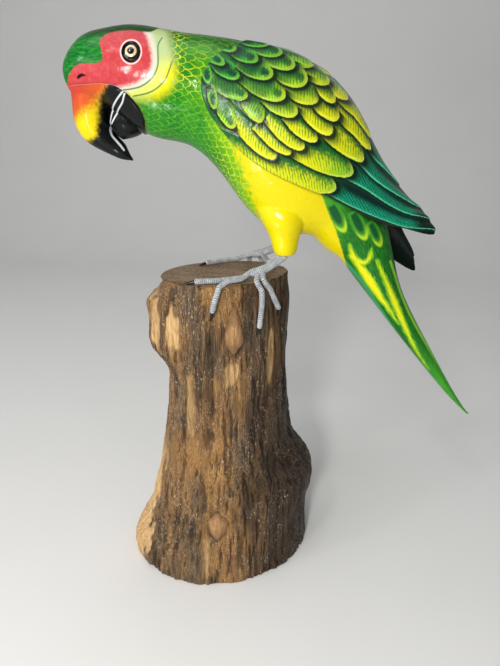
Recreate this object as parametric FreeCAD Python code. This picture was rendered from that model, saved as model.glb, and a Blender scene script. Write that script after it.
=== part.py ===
import FreeCAD, Part
import math
import os

from FreeCAD import Vector

# Carved wooden parrot standing on a sawn log.
# Millimetres, +Z up.  The origin is the middle of the log's sawn base, on the table.
# The bird faces -X, so its left side is -Y and its right side is +Y.
# One STEP is written for each separate piece.

# ---------------------------------------------------------------- driving dimensions
LOG_HEIGHT = 200.0          # sawn base to sawn top
FOOT_TWIST = 9.0            # degrees the oval is skewed at the foot
TOP_TWIST = 18.0            # degrees the oval is skewed at the top

WING_THICK = 4.4            # carved wing panel over the body
WING_TIP_THICK = 3.0        # carved wing panel past the rump
WING_DROOP = 9.5            # degrees the right wing hangs below the left
WING_STRETCH = 0.14         # how much further the right wing reaches at its tip
SHOULDER = (0.0, 292.0)     # x, z the droop turns about
WING_SPAN = 125.0           # shoulder to wing tip
WING_REACH = 60.0           # wider than any wing, for the outlines' prisms
WING_FORM_HEIGHT = 400.0    # taller than any wing

EYE_CENTRE = (-45.6, 17.8, 308.2)   # x, distance from the middle, z
EYE_TILT = 23.0             # degrees the eye looks up, square to the head's side
EYE_RADIUS = 3.9
EYE_PROUD = 1.3             # height of the bead's dome above the head
EYE_DEPTH = 2.6             # how deep the bead sits in its socket

WIRE_DIA = 1.45             # toe wire
TOE_DIA = 3.1               # toe wire and its winding
LEG_DIA = 4.8               # four wires and their winding
CLAW_TIP_DIA = 0.5          # the bare end of a toe wire is ground to a point
CLAW_LENGTH = 6.0
BUNDLE_OFFSET = 0.76        # from the middle of the leg to the middle of each wire
TOE_CLEARANCE = 0.15        # between a wound toe and the log

WIRE_BEND = 3.2             # bend radius of a toe wire at its middle, where there is room
LEG_BEND = 6.0
LEG_OVERRUN = 0.8           # the leg's winding runs this far past the parting of the toes
BUNDLE_PLACES = [(-1, 1), (1, 1), (1, -1), (-1, -1)]    # sideways, upward, in toe order

DOWEL_DIA = 4.0
DOWEL_LENGTH = 13.0
WING_DOWELS = [(12.0, 26.0, 290.0), (42.0, 26.0, 268.0)]    # x, outer end from the middle, z
TAIL_DOWEL_DIA = 6.0
TAIL_DOWEL_LENGTH = 24.0
SEAM_MARGIN = 60.0          # the block behind the tail's seam is this much larger than the seam
TAIL_REACH = 200.0          # longer than the tail
SHARED_SECTIONS = 2         # sections past the seam that keep body and tail in line with each other

BODY_POINTS = 24            # points on a section of the bird
THIGH_POINTS = 16           # points on a section of a thigh
LOG_POINTS = 20             # points on a section of the log

# Body sections from the front of the head to the rump:
# back x, back z, belly x, belly z, half width
BODY_SECTIONS = [
    (-82.9, 303.0, -82.2, 296.0, 5.0),
    (-81.4, 307.6, -79.6, 289.5, 11.0),
    (-76.0, 314.0, -73.4, 286.0, 15.5),
    (-67.0, 318.8, -64.0, 284.0, 18.4),
    (-55.0, 321.2, -54.0, 279.0, 20.0),
    (-43.0, 321.6, -43.0, 272.8, 20.4),
    (-29.0, 319.8, -31.4, 270.2, 21.0),
    (-14.0, 318.4, -19.4, 267.2, 22.6),
    (2.0, 316.8, -7.6, 257.8, 24.4),
    (17.0, 313.6, 1.2, 247.0, 25.8),
    (31.5, 307.6, 10.0, 236.6, 26.4),
    (44.0, 298.6, 20.0, 228.0, 26.0),
    (55.0, 287.0, 29.6, 223.8, 24.2),
    (64.0, 272.5, 39.6, 223.8, 21.4),
    (74.0, 254.5, 50.6, 219.6, 17.8),
    (84.0, 238.0, 61.6, 212.2, 14.6),
]
# The same on from the rump to the tip of the tail, which is glued on at the last body section
TAIL_SECTIONS = [
    (91.5, 219.0, 69.5, 203.6, 12.6),
    (99.0, 198.0, 80.0, 191.6, 10.8),
    (108.5, 180.6, 91.5, 178.4, 9.2),
    (124.5, 156.4, 112.0, 155.4, 7.0),
    (141.5, 131.2, 134.0, 131.6, 4.6),
    (152.5, 116.4, 148.5, 117.4, 2.8),
    (158.2, 110.6, 156.8, 110.4, 1.2),
]
# Upper beak: front x, front z, back x, back z, half width
BEAK_SECTIONS = [
    (-80.6, 300.0, -58.0, 300.0, 13.2),
    (-81.4, 292.0, -59.0, 291.4, 12.6),
    (-81.4, 284.0, -61.6, 284.6, 11.4),
    (-80.8, 276.4, -63.2, 279.8, 9.8),
    (-76.8, 269.2, -62.4, 276.0, 7.8),
    (-69.4, 264.4, -60.4, 272.2, 5.6),
    (-61.8, 261.2, -57.8, 268.6, 3.6),
    (-55.9, 259.7, -54.4, 264.0, 1.6),
    (-53.4, 260.2, -53.0, 261.6, 0.7),
]
# Lower beak: front x, front z, back x, back z, half width
LOWER_BEAK_SECTIONS = [
    (-62.0, 293.0, -52.4, 291.4, 4.0),
    (-63.4, 288.0, -48.8, 286.4, 8.4),
    (-63.6, 281.6, -45.6, 280.6, 9.6),
    (-62.6, 276.2, -45.0, 276.0, 9.0),
    (-59.8, 272.0, -47.4, 272.8, 6.4),
    (-56.8, 269.8, -51.4, 271.0, 2.8),
]
# Left thigh stump, from inside the belly to its blunt end: x, distance from the middle, z,
# half length, half width
THIGH_SECTIONS = [
    (27.0, 9.0, 250.0, 16.0, 11.5),
    (28.4, 10.4, 238.0, 13.6, 11.0),
    (29.8, 12.0, 228.0, 9.6, 9.4),
    (30.6, 13.2, 221.0, 7.2, 7.4),
    (30.9, 13.8, 217.2, 6.2, 6.4),
    (30.9, 14.0, 215.0, 4.8, 4.8),
]

# Wing panel seen from the side, from the top of the shoulder round the front and
# along the lower edge to the tip, then back along the upper edge: x, z
WING_OUTLINE = [
    (0.6, 311.4), (-7.6, 306.0), (-12.4, 297.0), (-11.0, 287.8), (-3.6, 277.0),
    (7.2, 266.8), (21.6, 258.4), (41.6, 250.6), (60.0, 243.0), (79.4, 234.4),
    (94.0, 231.6), (109.4, 229.2), (105.0, 237.2), (96.0, 245.6), (86.0, 256.0),
    (78.0, 268.0), (71.0, 287.0), (57.0, 305.0), (36.0, 319.0), (16.0, 322.0),
]
# Outer form that the wing panels are carved to: upper x, z, lower x, z, half width
WING_FORM = [
    (-24.0, 320.6, -30.0, 262.0, 25.4),
    (-14.0, 320.4, -22.0, 259.0, 26.8),
    (2.0, 319.4, -11.0, 250.0, 28.8),
    (18.0, 317.2, -2.0, 240.0, 30.2),
    (34.1, 312.6, 6.0, 230.0, 30.8),
    (47.8, 304.1, 15.5, 220.0, 30.4),
    (59.9, 292.5, 28.5, 213.0, 28.8),
    (70.0, 278.4, 41.5, 209.0, 26.4),
    (79.6, 264.4, 55.0, 210.0, 23.8),
    (90.0, 252.0, 70.0, 212.0, 21.4),
    (102.0, 242.6, 86.0, 212.0, 19.2),
    (116.0, 234.0, 103.0, 210.0, 17.0),
]
# Inner edge of a wing seen from above, along the spine: x, distance from the middle
WING_SPINE_EDGE = [(-30.0, 15.0), (-6.0, 11.0), (20.0, 6.5), (50.0, 3.2), (80.0, 3.6), (125.0, 5.0)]

# Log sections: z, left x, right x, half depth
LOG_SECTIONS = [
    (0.0, -60.4, 60.2, 46.8),
    (11.0, -64.0, 59.3, 46.4),
    (19.0, -61.0, 58.6, 45.7),
    (28.0, -56.4, 58.0, 44.9),
    (44.0, -49.8, 59.0, 43.2),
    (58.0, -46.2, 61.0, 41.2),
    (70.0, -43.6, 56.6, 39.0),
    (78.0, -42.4, 50.4, 37.4),
    (87.0, -41.4, 45.0, 36.0),
    (104.0, -39.0, 41.2, 33.6),
    (122.0, -37.0, 38.8, 31.8),
    (134.0, -35.8, 37.6, 31.0),
    (141.0, -36.2, 37.1, 30.8),
    (147.5, -38.6, 37.0, 30.6),
    (153.0, -43.0, 36.9, 30.5),
    (158.5, -46.2, 36.9, 30.3),
    (166.0, -47.0, 36.8, 30.1),
    (178.0, -46.8, 36.7, 29.4),
    (189.0, -44.4, 36.3, 28.8),
    (200.0, -40.0, 35.7, 28.2),
]
# Knots that stand proud of the bark side: x, y, z, radius
KNOTS = [(4.4, -19.6, 173.0, 9.0), (-2.4, -35.4, 48.0, 9.4)]

# Legs, from inside the thigh to where the toes part: x, y, z
LEFT_LEG = [(34.0, -14.0, 222.0), (30.4, -14.0, 213.6), (21.0, -13.6, 206.6), (13.4, -13.2, 203.6)]
RIGHT_LEG = [(33.0, 14.0, 221.0), (29.6, 14.6, 213.4), (21.6, 18.6, 208.6), (14.0, 22.8, 205.4)]


def top(x, y):
    """Middle of a wound toe that lies on the sawn top."""
    return Vector(x, y, LOG_HEIGHT + TOE_DIA / 2 + TOE_CLEARANCE)


def bark(x, height, side, gap=TOE_DIA / 2 + TOE_CLEARANCE):
    """Point a gap outside the log, at an x and a height, on its -Y or +Y side."""
    left, right, half_depth = log_extent(height)
    twist = log_twist(height)
    turn = math.acos((x - (left + right) / 2) / ((right - left) / 2))
    return Vector(x, (half_depth + gap) * math.sin(side * turn + twist), height)


def log_extent(height):
    """Left x, right x and half depth of the log at a height."""
    for low, high in zip(LOG_SECTIONS, LOG_SECTIONS[1:]):
        if height <= high[0]:
            part = (height - low[0]) / (high[0] - low[0])
            return [a + (b - a) * part for a, b in zip(low[1:], high[1:])]
    return LOG_SECTIONS[-1][1:]


def log_twist(height):
    return math.radians(FOOT_TWIST + (TOP_TWIST - FOOT_TWIST) * min(height, LOG_HEIGHT) / LOG_HEIGHT)


def toe_routes():
    """Each toe's points from where it leaves the leg to its claw tip.

    The first number is where the toe leaves the leg, as a share of the leg's last run.
    """
    tip = CLAW_TIP_DIA / 2
    left = [
        (1.0, [top(8.6, -16.4), top(2.0, -20.6), top(-5.0, -23.8), top(-16.0, -26.6),
               Vector(-22.4, -27.4, LOG_HEIGHT + tip)]),
        (0.9, [Vector(7.6, -19.8, 201.8), Vector(0.6, -24.6, 201.8), Vector(-3.4, -28.6, 199.6),
               bark(-5.4, 194.0, -1), bark(-7.2, 186.0, -1), bark(-8.2, 179.6, -1, tip)]),
        (0.5, [Vector(16.0, -19.6, 201.2), bark(18.4, 195.6, -1), bark(18.9, 188.0, -1),
               bark(18.0, 174.8, -1), bark(17.0, 168.0, -1, tip)]),
        (0.25, [Vector(19.8, -17.8, 201.4), bark(23.0, 195.6, -1), bark(25.4, 189.6, -1),
                bark(28.2, 182.8, -1), bark(29.6, 176.8, -1, tip)]),
    ]
    right = [
        (1.0, [Vector(8.0, 25.4, 203.0), top(2.0, 23.6), top(-5.0, 19.6), top(-14.4, 12.6),
               Vector(-18.8, 10.4, LOG_HEIGHT + tip)]),
        (0.85, [Vector(11.4, 28.4, 202.6), bark(10.6, 197.4, 1), bark(9.6, 188.0, 1),
                bark(9.0, 181.6, 1, tip)]),
        (0.6, [Vector(17.4, 27.6, 203.0), bark(19.6, 197.4, 1), bark(21.4, 189.0, 1),
               bark(22.8, 182.6, 1, tip)]),
        (0.35, [top(22.6, 22.4), top(25.6, 16.4), Vector(26.8, 9.6, LOG_HEIGHT + tip)]),
    ]
    return {"left": left, "right": right}


# ---------------------------------------------------------------- helpers
def closed_curve(points):
    """Smooth closed wire through the points."""
    curve = Part.BSplineCurve()
    curve.interpolate(points, PeriodicFlag=True)
    return Part.Wire([curve.toShape()])


def oval_ring(centre, long_axis, half_length, cross_axis, half_width, count=BODY_POINTS):
    points = []
    for step in range(count):
        turn = 2 * math.pi * step / count
        along = long_axis * (half_length * math.cos(turn))
        across = cross_axis * (half_width * math.sin(turn))
        points.append(centre + along + across)
    return closed_curve(points)


def section(upper, lower, half_width):
    """Upright oval section whose long axis runs between two x, z points."""
    centre = Vector((upper[0] + lower[0]) / 2, 0, (upper[1] + lower[1]) / 2)
    along = Vector(upper[0] - lower[0], 0, upper[1] - lower[1])
    half_length = along.Length / 2
    return oval_ring(centre, along.normalize(), half_length, Vector(0, 1, 0), half_width)


def loft(rows):
    """Solid through sections given as two x, z points and a half width."""
    wires = [section((a, b), (c, d), half) for a, b, c, d, half in rows]
    return Part.makeLoft(wires, True, False)


def bent_path(points, largest):
    """Straight runs joined by tangent arcs."""
    edges = []
    start = points[0]
    for before, corner, after in zip(points, points[1:], points[2:]):
        inward = (corner - before)
        outward = (after - corner)
        shorter = min(inward.Length, outward.Length)
        inward.normalize()
        outward.normalize()
        half_turn = inward.getAngle(outward) / 2
        if half_turn < 1e-3:
            continue
        cut = min(0.45 * shorter, largest * math.tan(half_turn))
        radius = cut / math.tan(half_turn)
        enter = corner - inward * cut
        leave = corner + outward * cut
        towards_middle = (outward - inward).normalize()
        middle = corner + towards_middle * (radius / math.cos(half_turn) - radius)
        edges.append(Part.LineSegment(start, enter).toShape())
        edges.append(Part.Arc(enter, middle, leave).toShape())
        start = leave
    edges.append(Part.LineSegment(start, points[-1]).toShape())
    return Part.Wire(edges)


def tube(path, diameter):
    """Round solid along a path of runs and arcs."""
    start = path.Edges[0].valueAt(path.Edges[0].FirstParameter)
    heading = path.Edges[0].tangentAt(path.Edges[0].FirstParameter)
    ring = Part.Wire([Part.makeCircle(diameter / 2, start, heading)])
    return path.makePipeShell([ring], True, True)


def sleeve(path, diameter, bore):
    """Hollow round solid along a path of runs and arcs."""
    start = path.Edges[0].valueAt(path.Edges[0].FirstParameter)
    heading = path.Edges[0].tangentAt(path.Edges[0].FirstParameter)
    discs = [Part.Face(Part.Wire([Part.makeCircle(size / 2, start, heading)])) for size in (diameter, bore)]
    ring = discs[0].cut(discs[1]).Faces[0]
    return path.makePipe(ring)


def pointed_end(base, tip):
    """Cone from the wire's full thickness to the claw's tip."""
    heading = tip - base
    return Part.makeCone(WIRE_DIA / 2, CLAW_TIP_DIA / 2, heading.Length, base, heading)


def save(shape, name):
    print(name, "solids", len(shape.Solids), "volume", round(shape.Volume, 1), "valid", shape.isValid())
    shape.exportStep("parts/%s.step" % name)


# ---------------------------------------------------------------- log
def log_perch():
    rings = []
    for height, left, right, half_depth in LOG_SECTIONS:
        middle = (left + right) / 2
        reach = (right - left) / 2
        twist = log_twist(height)
        points = []
        for step in range(LOG_POINTS):
            turn = 2 * math.pi * step / LOG_POINTS
            x = middle + reach * math.cos(turn)
            y = half_depth * math.sin(turn + twist)
            points.append(Vector(x, y, height))
        rings.append(closed_curve(points))
    log = Part.makeLoft(rings, True, False)
    for x, y, z, radius in KNOTS:
        log = log.fuse(Part.makeSphere(radius, Vector(x, y, z)))
    return log


# ---------------------------------------------------------------- body, beak and tail
def thigh(side):
    rings = []
    for x, apart, z, half_length, half_width in THIGH_SECTIONS:
        centre = Vector(x, side * apart, z)
        ring = oval_ring(centre, Vector(1, 0, 0), half_length, Vector(0, 1, 0), half_width, THIGH_POINTS)
        rings.append(ring)
    return Part.makeLoft(rings, True, False)


def behind_seam():
    """Block that holds everything on the tail's side of its seam."""
    upper_x, upper_z, lower_x, lower_z, _ = BODY_SECTIONS[-1]
    upper = Vector(upper_x, -SEAM_MARGIN, upper_z)
    lower = Vector(lower_x, -SEAM_MARGIN, lower_z)
    across = (upper - lower).normalize()
    back = Vector(across.z, 0, -across.x) * TAIL_REACH
    first = upper + across * SEAM_MARGIN
    last = lower - across * SEAM_MARGIN
    outline = Part.makePolygon([first, last, last + back, first + back, first])
    return Part.Face(outline).extrude(Vector(0, 2 * SEAM_MARGIN, 0))


def carved_bird():
    """The body, with head, upper beak, trunk and thighs in one, and the tail."""
    body = loft(BODY_SECTIONS + TAIL_SECTIONS[:SHARED_SECTIONS]).cut(behind_seam())
    tail = loft(BODY_SECTIONS[-1 - SHARED_SECTIONS:] + TAIL_SECTIONS).common(behind_seam())
    for lump in (loft(BEAK_SECTIONS), thigh(-1), thigh(1)):
        body = body.fuse(lump)
    return body, tail


def eye(side):
    """Domed bead let into a round socket in the head."""
    outline = [Vector(0, 0, -EYE_DEPTH), Vector(EYE_RADIUS, 0, -EYE_DEPTH), Vector(EYE_RADIUS, 0, 0)]
    crown = Vector(0, 0, EYE_PROUD)
    ball_radius = (EYE_RADIUS ** 2 + EYE_PROUD ** 2) / (2 * EYE_PROUD)
    half_angle = math.asin(EYE_RADIUS / ball_radius) / 2
    drop = ball_radius * (1 - math.cos(half_angle))
    shoulder = crown + Vector(ball_radius * math.sin(half_angle), 0, -drop)
    edges = [
        Part.LineSegment(outline[0], outline[1]).toShape(),
        Part.LineSegment(outline[1], outline[2]).toShape(),
        Part.Arc(outline[2], shoulder, crown).toShape(),
        Part.LineSegment(crown, outline[0]).toShape(),
    ]
    bead = Part.Face(Part.Wire(edges)).revolve(Vector(0, 0, 0), Vector(0, 0, 1), 360)
    bead.rotate(Vector(0, 0, 0), Vector(1, 0, 0), -side * (90 - EYE_TILT))
    bead.translate(Vector(EYE_CENTRE[0], side * EYE_CENTRE[1], EYE_CENTRE[2]))
    return bead


def tail_dowel():
    upper_x, upper_z, lower_x, lower_z, _ = BODY_SECTIONS[-1]
    seam = Vector((upper_x + lower_x) / 2, 0, (upper_z + lower_z) / 2)
    along = Vector(upper_z - lower_z, 0, lower_x - upper_x).normalize()
    start = seam - along * (TAIL_DOWEL_LENGTH / 2)
    return Part.makeCylinder(TAIL_DOWEL_DIA / 2, TAIL_DOWEL_LENGTH, start, along)


# ---------------------------------------------------------------- wings
def droop(x, z, side):
    """The right wing hangs lower and reaches further, more so towards its tip."""
    if side < 0:
        return x, z
    from_x, from_z = x - SHOULDER[0], z - SHOULDER[1]
    share = min(1.0, math.hypot(from_x, from_z) / WING_SPAN)
    turn = -math.radians(WING_DROOP) * share
    reach = 1 + WING_STRETCH * share
    return (SHOULDER[0] + reach * (from_x * math.cos(turn) - from_z * math.sin(turn)),
            SHOULDER[1] + reach * (from_x * math.sin(turn) + from_z * math.cos(turn)))


def wing_form(side, inset):
    """Rounded form that a wing's outer or inner face is carved to."""
    rings = []
    for row, (upper_x, upper_z, lower_x, lower_z, half_width) in enumerate(WING_FORM):
        upper = droop(upper_x, upper_z, side)
        lower = droop(lower_x, lower_z, side)
        thick = WING_THICK + (WING_TIP_THICK - WING_THICK) * row / (len(WING_FORM) - 1)
        shrink = inset * thick
        along = Vector(upper[0] - lower[0], 0, upper[1] - lower[1])
        centre = Vector((upper[0] + lower[0]) / 2, 0, (upper[1] + lower[1]) / 2)
        half_length = along.Length / 2 - shrink
        along.normalize()
        rings.append(oval_ring(centre, along, half_length, Vector(0, 1, 0), half_width - shrink))
    return Part.makeLoft(rings, True, False)


def wing_side_outline(side):
    points = []
    for x, z in WING_OUTLINE:
        moved = droop(x, z, side)
        points.append(Vector(moved[0], 0, moved[1]))
    face = Part.Face(closed_curve(points))
    return face.extrude(Vector(0, side * WING_REACH, 0))


def wing_top_outline(side):
    """Everything outside the wing's inner edge, seen from above."""
    inner = [Vector(x, side * y, 0) for x, y in WING_SPINE_EDGE]
    curve = Part.BSplineCurve()
    curve.interpolate(inner)
    outer = [Vector(inner[-1].x, side * WING_REACH, 0), Vector(inner[0].x, side * WING_REACH, 0)]
    sides = Part.makePolygon([inner[-1]] + outer + [inner[0]])
    face = Part.Face(Part.Wire([curve.toShape()] + sides.Edges))
    return face.extrude(Vector(0, 0, WING_FORM_HEIGHT))


def wing(side, body):
    panel = wing_form(side, 0).cut(wing_form(side, 1))
    panel = panel.common(wing_side_outline(side))
    panel = panel.common(wing_top_outline(side))
    panel = panel.cut(body)
    return max(panel.Solids, key=lambda solid: solid.Volume)


def wing_dowels(side):
    dowels = []
    for x, y, z in WING_DOWELS:
        start = Vector(x, side * y, z)
        dowels.append(Part.makeCylinder(DOWEL_DIA / 2, DOWEL_LENGTH, start, Vector(0, -side, 0)))
    return dowels


# ---------------------------------------------------------------- legs and feet
def foot(leg_points, toes):
    """Toe wires, the leg's winding and each toe's winding."""
    points = [Vector(*point) for point in leg_points]
    heading = (points[-1] - points[-2]).normalize()
    sideways = heading.cross(Vector(0, 0, 1)).normalize()
    upward = sideways.cross(heading)
    wires, sleeves = [], []
    for number, (share, route) in enumerate(toes):
        place = BUNDLE_PLACES[number]
        offset = sideways * (place[0] * BUNDLE_OFFSET) + upward * (place[1] * BUNDLE_OFFSET)
        leaving = points[-2] + (points[-1] - points[-2]) * share
        inside = [point + offset for point in points[:-1]] + [leaving + offset]
        claw = route[-1] - route[-2]
        claw_base = route[-1] - claw.normalize() * CLAW_LENGTH
        path = bent_path(inside + route[:-1] + [claw_base], WIRE_BEND)
        wires.append(tube(path, WIRE_DIA).fuse(pointed_end(claw_base, route[-1])).removeSplitter())
        toe_path = bent_path([inside[-1]] + route[:-1] + [claw_base], WIRE_BEND)
        sleeves.append((sleeve(toe_path, TOE_DIA, WIRE_DIA), tube(toe_path, TOE_DIA)))
    leg_path = bent_path(points[:-1] + [points[-1] + heading * LEG_OVERRUN], LEG_BEND)
    leg = tube(leg_path, LEG_DIA)
    return wires, leg, sleeves


def trimmed(shape, others):
    for other in others:
        if shape.BoundBox.intersect(other.BoundBox):
            shape = shape.cut(other)
    return max(shape.Solids, key=lambda solid: solid.Volume)


def main():
    os.makedirs("parts", exist_ok=True)
    save(log_perch(), "log_perch")
    body, tail = carved_bird()
    lower_beak = loft(LOWER_BEAK_SECTIONS)
    save(lower_beak, "lower_beak")
    body = body.cut(lower_beak)
    peg = tail_dowel()
    save(peg, "tail_dowel")
    save(tail.cut(peg), "tail")
    body = body.cut(peg)
    for side, name in ((-1, "left"), (1, "right")):
        bead = eye(side)
        save(bead, "eye_" + name)
        body = body.cut(bead)
        panel = wing(side, body)
        for number, dowel in enumerate(wing_dowels(side), 1):
            save(dowel, "wing_dowel_%s_%d" % (name, number))
            panel = panel.cut(dowel)
            body = body.cut(dowel)
        save(trimmed(panel, [tail]), "wing_" + name)
    routes = toe_routes()
    for name, leg_points in (("left", LEFT_LEG), ("right", RIGHT_LEG)):
        wires, leg, sleeves = foot(leg_points, routes[name])
        for number, wire in enumerate(wires, 1):
            save(wire, "toe_wire_%s_%d" % (name, number))
        save(trimmed(leg, wires + [body]), "leg_wrap_" + name)
        done = [leg]
        for number, (winding, outline) in enumerate(sleeves, 1):
            others = wires[:number - 1] + wires[number:]
            save(trimmed(winding, done + others), "toe_wrap_%s_%d" % (name, number))
            done.append(outline)
        body = trimmed(body, wires)
    save(body, "body")


main()
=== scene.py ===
import math

import bpy
import numpy as np
from mathutils import Matrix, Vector
from mathutils.bvhtree import BVHTree


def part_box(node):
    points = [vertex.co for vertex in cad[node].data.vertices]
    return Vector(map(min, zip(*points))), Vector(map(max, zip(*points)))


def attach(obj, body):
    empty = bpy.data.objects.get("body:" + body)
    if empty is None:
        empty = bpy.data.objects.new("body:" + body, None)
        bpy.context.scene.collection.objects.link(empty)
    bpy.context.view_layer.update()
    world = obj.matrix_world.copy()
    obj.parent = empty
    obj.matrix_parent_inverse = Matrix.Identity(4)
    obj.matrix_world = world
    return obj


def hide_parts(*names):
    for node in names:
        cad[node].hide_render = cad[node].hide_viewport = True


MM = 0.001
TURN = 2 * math.pi

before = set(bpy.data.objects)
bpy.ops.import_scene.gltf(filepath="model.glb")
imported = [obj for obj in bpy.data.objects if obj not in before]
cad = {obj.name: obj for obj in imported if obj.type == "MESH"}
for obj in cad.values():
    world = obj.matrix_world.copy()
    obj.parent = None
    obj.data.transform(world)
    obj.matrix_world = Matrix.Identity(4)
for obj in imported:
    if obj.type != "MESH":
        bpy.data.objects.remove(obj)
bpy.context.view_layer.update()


# ---------------------------------------------------------------- meshes
def add_object(name, mesh):
    piece = bpy.data.objects.new(name, mesh)
    bpy.context.scene.collection.objects.link(piece)
    return piece


def make_mesh(name, points, faces, smooth=True):
    """Mesh from points in millimetres."""
    mesh = bpy.data.meshes.new(name)
    mesh.from_pydata([tuple(p) for p in np.asarray(points) * MM], [], [tuple(f) for f in faces])
    mesh.update()
    mesh.polygons.foreach_set("use_smooth", [smooth] * len(mesh.polygons))
    return mesh


def joined_nodes(name, node_names):
    """One mesh that holds copies of several CAD nodes."""
    points, faces, start = [], [], 0
    for node in node_names:
        mesh = cad[node].data
        points.append(points_of(mesh))
        faces += [[start + corner for corner in face.vertices] for face in mesh.polygons]
        start += len(mesh.vertices)
    return make_mesh(name, np.vstack(points), faces)


def skin(name, node_names, voxel, relax=3):
    """Even closed skin that lies on CAD nodes, with points half a voxel apart."""
    core = add_object(name + "_core", joined_nodes(name + "_core", node_names))
    piece = add_object(name, core.data.copy())
    remesh = piece.modifiers.new("voxels", "REMESH")
    remesh.mode = "VOXEL"
    remesh.voxel_size = voxel * MM
    even = piece.modifiers.new("even", "SMOOTH")
    even.iterations = relax
    finer = piece.modifiers.new("finer", "SUBSURF")
    finer.levels = finer.render_levels = 1
    fit = piece.modifiers.new("fit", "SHRINKWRAP")
    fit.target = core
    settle = piece.modifiers.new("settle", "SMOOTH")
    settle.iterations = 2
    graph = bpy.context.evaluated_depsgraph_get()
    mesh = bpy.data.meshes.new_from_object(piece.evaluated_get(graph))
    piece.modifiers.clear()
    piece.data = mesh
    bpy.data.objects.remove(core)
    mesh.polygons.foreach_set("use_smooth", [True] * len(mesh.polygons))
    return piece


def read_vectors(mesh, field):
    values = np.empty(len(mesh.vertices) * 3, np.float32)
    mesh.vertices.foreach_get(field, values)
    return values.reshape(-1, 3).astype(float)


def points_of(mesh):
    """Points in millimetres."""
    return read_vectors(mesh, "co") / MM


def normals_of(mesh):
    return read_vectors(mesh, "normal")


def move_points(mesh, points):
    mesh.vertices.foreach_set("co", (points * MM).astype(np.float32).ravel())
    mesh.update()


def store(mesh, **fields):
    """Keeps numbers or vectors, one a point, under the names that the materials read."""
    for name, values in fields.items():
        values = np.asarray(values, np.float32)
        kind = "FLOAT" if values.ndim == 1 else "FLOAT_VECTOR"
        attribute = mesh.attributes.new(name, kind, "POINT")
        attribute.data.foreach_set("value" if values.ndim == 1 else "vector", values.ravel())


def ring_faces(rows, sides):
    """Faces between rings of points, and fans to two last points: the first ring's and the last ring's."""
    faces = []
    for row in range(rows - 1):
        for turn in range(sides):
            after = (turn + 1) % sides
            a, b = row * sides, (row + 1) * sides
            faces.append((a + turn, a + after, b + after, b + turn))
    last = (rows - 1) * sides
    for turn in range(sides):
        after = (turn + 1) % sides
        faces.append((after, turn, rows * sides))
        faces.append((last + turn, last + after, rows * sides + 1))
    return faces


def spread(mesh, values, held, rounds):
    """Evens out a vector a point over the points that aren't held, from neighbour to neighbour."""
    edges = np.empty(len(mesh.edges) * 2, np.int32)
    mesh.edges.foreach_get("vertices", edges)
    here, there = np.vstack([edges.reshape(-1, 2), edges.reshape(-1, 2)[:, ::-1]]).T
    free = ~held
    links = free[here]
    here, there = here[links], there[links]
    count = np.bincount(here, minlength=len(values))[free][:, None]
    values = values.copy()
    for _ in range(rounds):
        total = [np.bincount(here, values[there, axis], len(values))[free] for axis in range(3)]
        values[free] = np.column_stack(total) / count
    return values


# ---------------------------------------------------------------- fields
def ease(low, high, value):
    """0 below low, 1 above high, smooth between; low may be the larger one."""
    part = np.clip((value - low) / (high - low), 0, 1)
    return part * part * (3 - 2 * part)


def value_noise(points, seed):
    """Smooth noise from 0 to 1 with cells one unit wide."""
    cell = np.floor(points).astype(np.int64)
    part = points - cell
    part = part * part * (3 - 2 * part)
    total = np.zeros(len(points))
    for corner in range(8):
        step = np.array([corner & 1, corner >> 1 & 1, corner >> 2 & 1])
        key = (cell + step) @ np.array([374761393, 668265263, 2147483647 // 3]) + seed * 974711
        key = (key ^ key >> 13) * 1274126177 & 0x7FFFFFFF
        share = np.where(step, part, 1 - part).prod(1)
        total += share * ((key ^ key >> 16) & 0xFFFF) / 0xFFFF
    return total


def layered_noise(points, seed, layers=4):
    total, strength, reach = np.zeros(len(points)), 0.5, 1.0
    for layer in range(layers):
        total += strength * value_noise(points * reach, seed + layer)
        strength, reach = strength / 2, reach * 2
    return total / (1 - 0.5 ** layers)


def curve_through(points, closed=False, steps=8):
    """Smooth line through a few points."""
    points = np.array(points, float)
    if closed:
        points = np.vstack([points[-1:], points, points[:2]])
    else:
        points = np.vstack([2 * points[0] - points[1], points, 2 * points[-1] - points[-2]])
    line = []
    for a, b, c, d in zip(points, points[1:], points[2:], points[3:]):
        for step in range(steps):
            u = step / steps
            line.append(0.5 * (2 * b + (c - a) * u + (2 * a - 5 * b + 4 * c - d) * u ** 2
                               + (3 * b - a - 3 * c + d) * u ** 3))
    if not closed:
        line.append(points[-2])
    return np.array(line)


def line_distance(places, line):
    """Distance to a line and the share of the line's length at the nearest point."""
    best = np.full(len(places), 1e9)
    share = np.zeros(len(places))
    lengths = np.hypot(*(line[1:] - line[:-1]).T)
    before = np.concatenate([[0], np.cumsum(lengths)])
    for start, end, length, run in zip(line, line[1:], lengths, before):
        along = (end - start) / max(length, 1e-9)
        part = np.clip((places - start) @ along, 0, length)
        gap = np.hypot(*(places - start - part[:, None] * along).T)
        nearer = gap < best
        best[nearer] = gap[nearer]
        share[nearer] = (run + part[nearer]) / before[-1]
    return best, share


def nearest_line(places, lines):
    """Distance to the nearest of a few smooth lines."""
    return np.min([line_distance(places, curve_through(line))[0] for line in lines], axis=0)


def region_depth(places, outline):
    """Distance inside an outline, negative outside it."""
    ring = np.vstack([outline, outline[:1]])
    gap, _ = line_distance(places, ring)
    x, z = places.T
    inside = np.zeros(len(places), bool)
    for (x1, z1), (x2, z2) in zip(ring, ring[1:]):
        if z1 != z2:
            inside ^= ((z1 > z) != (z2 > z)) & (x < (x2 - x1) * (z - z1) / (z2 - z1) + x1)
    return np.where(inside, gap, -gap)


def near_only(places, near, find, default):
    """A field worked out only where it's near, because the rest of a mesh is large."""
    values = np.full(len(places), float(default))
    values[near] = find(places[near])
    return values


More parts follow.
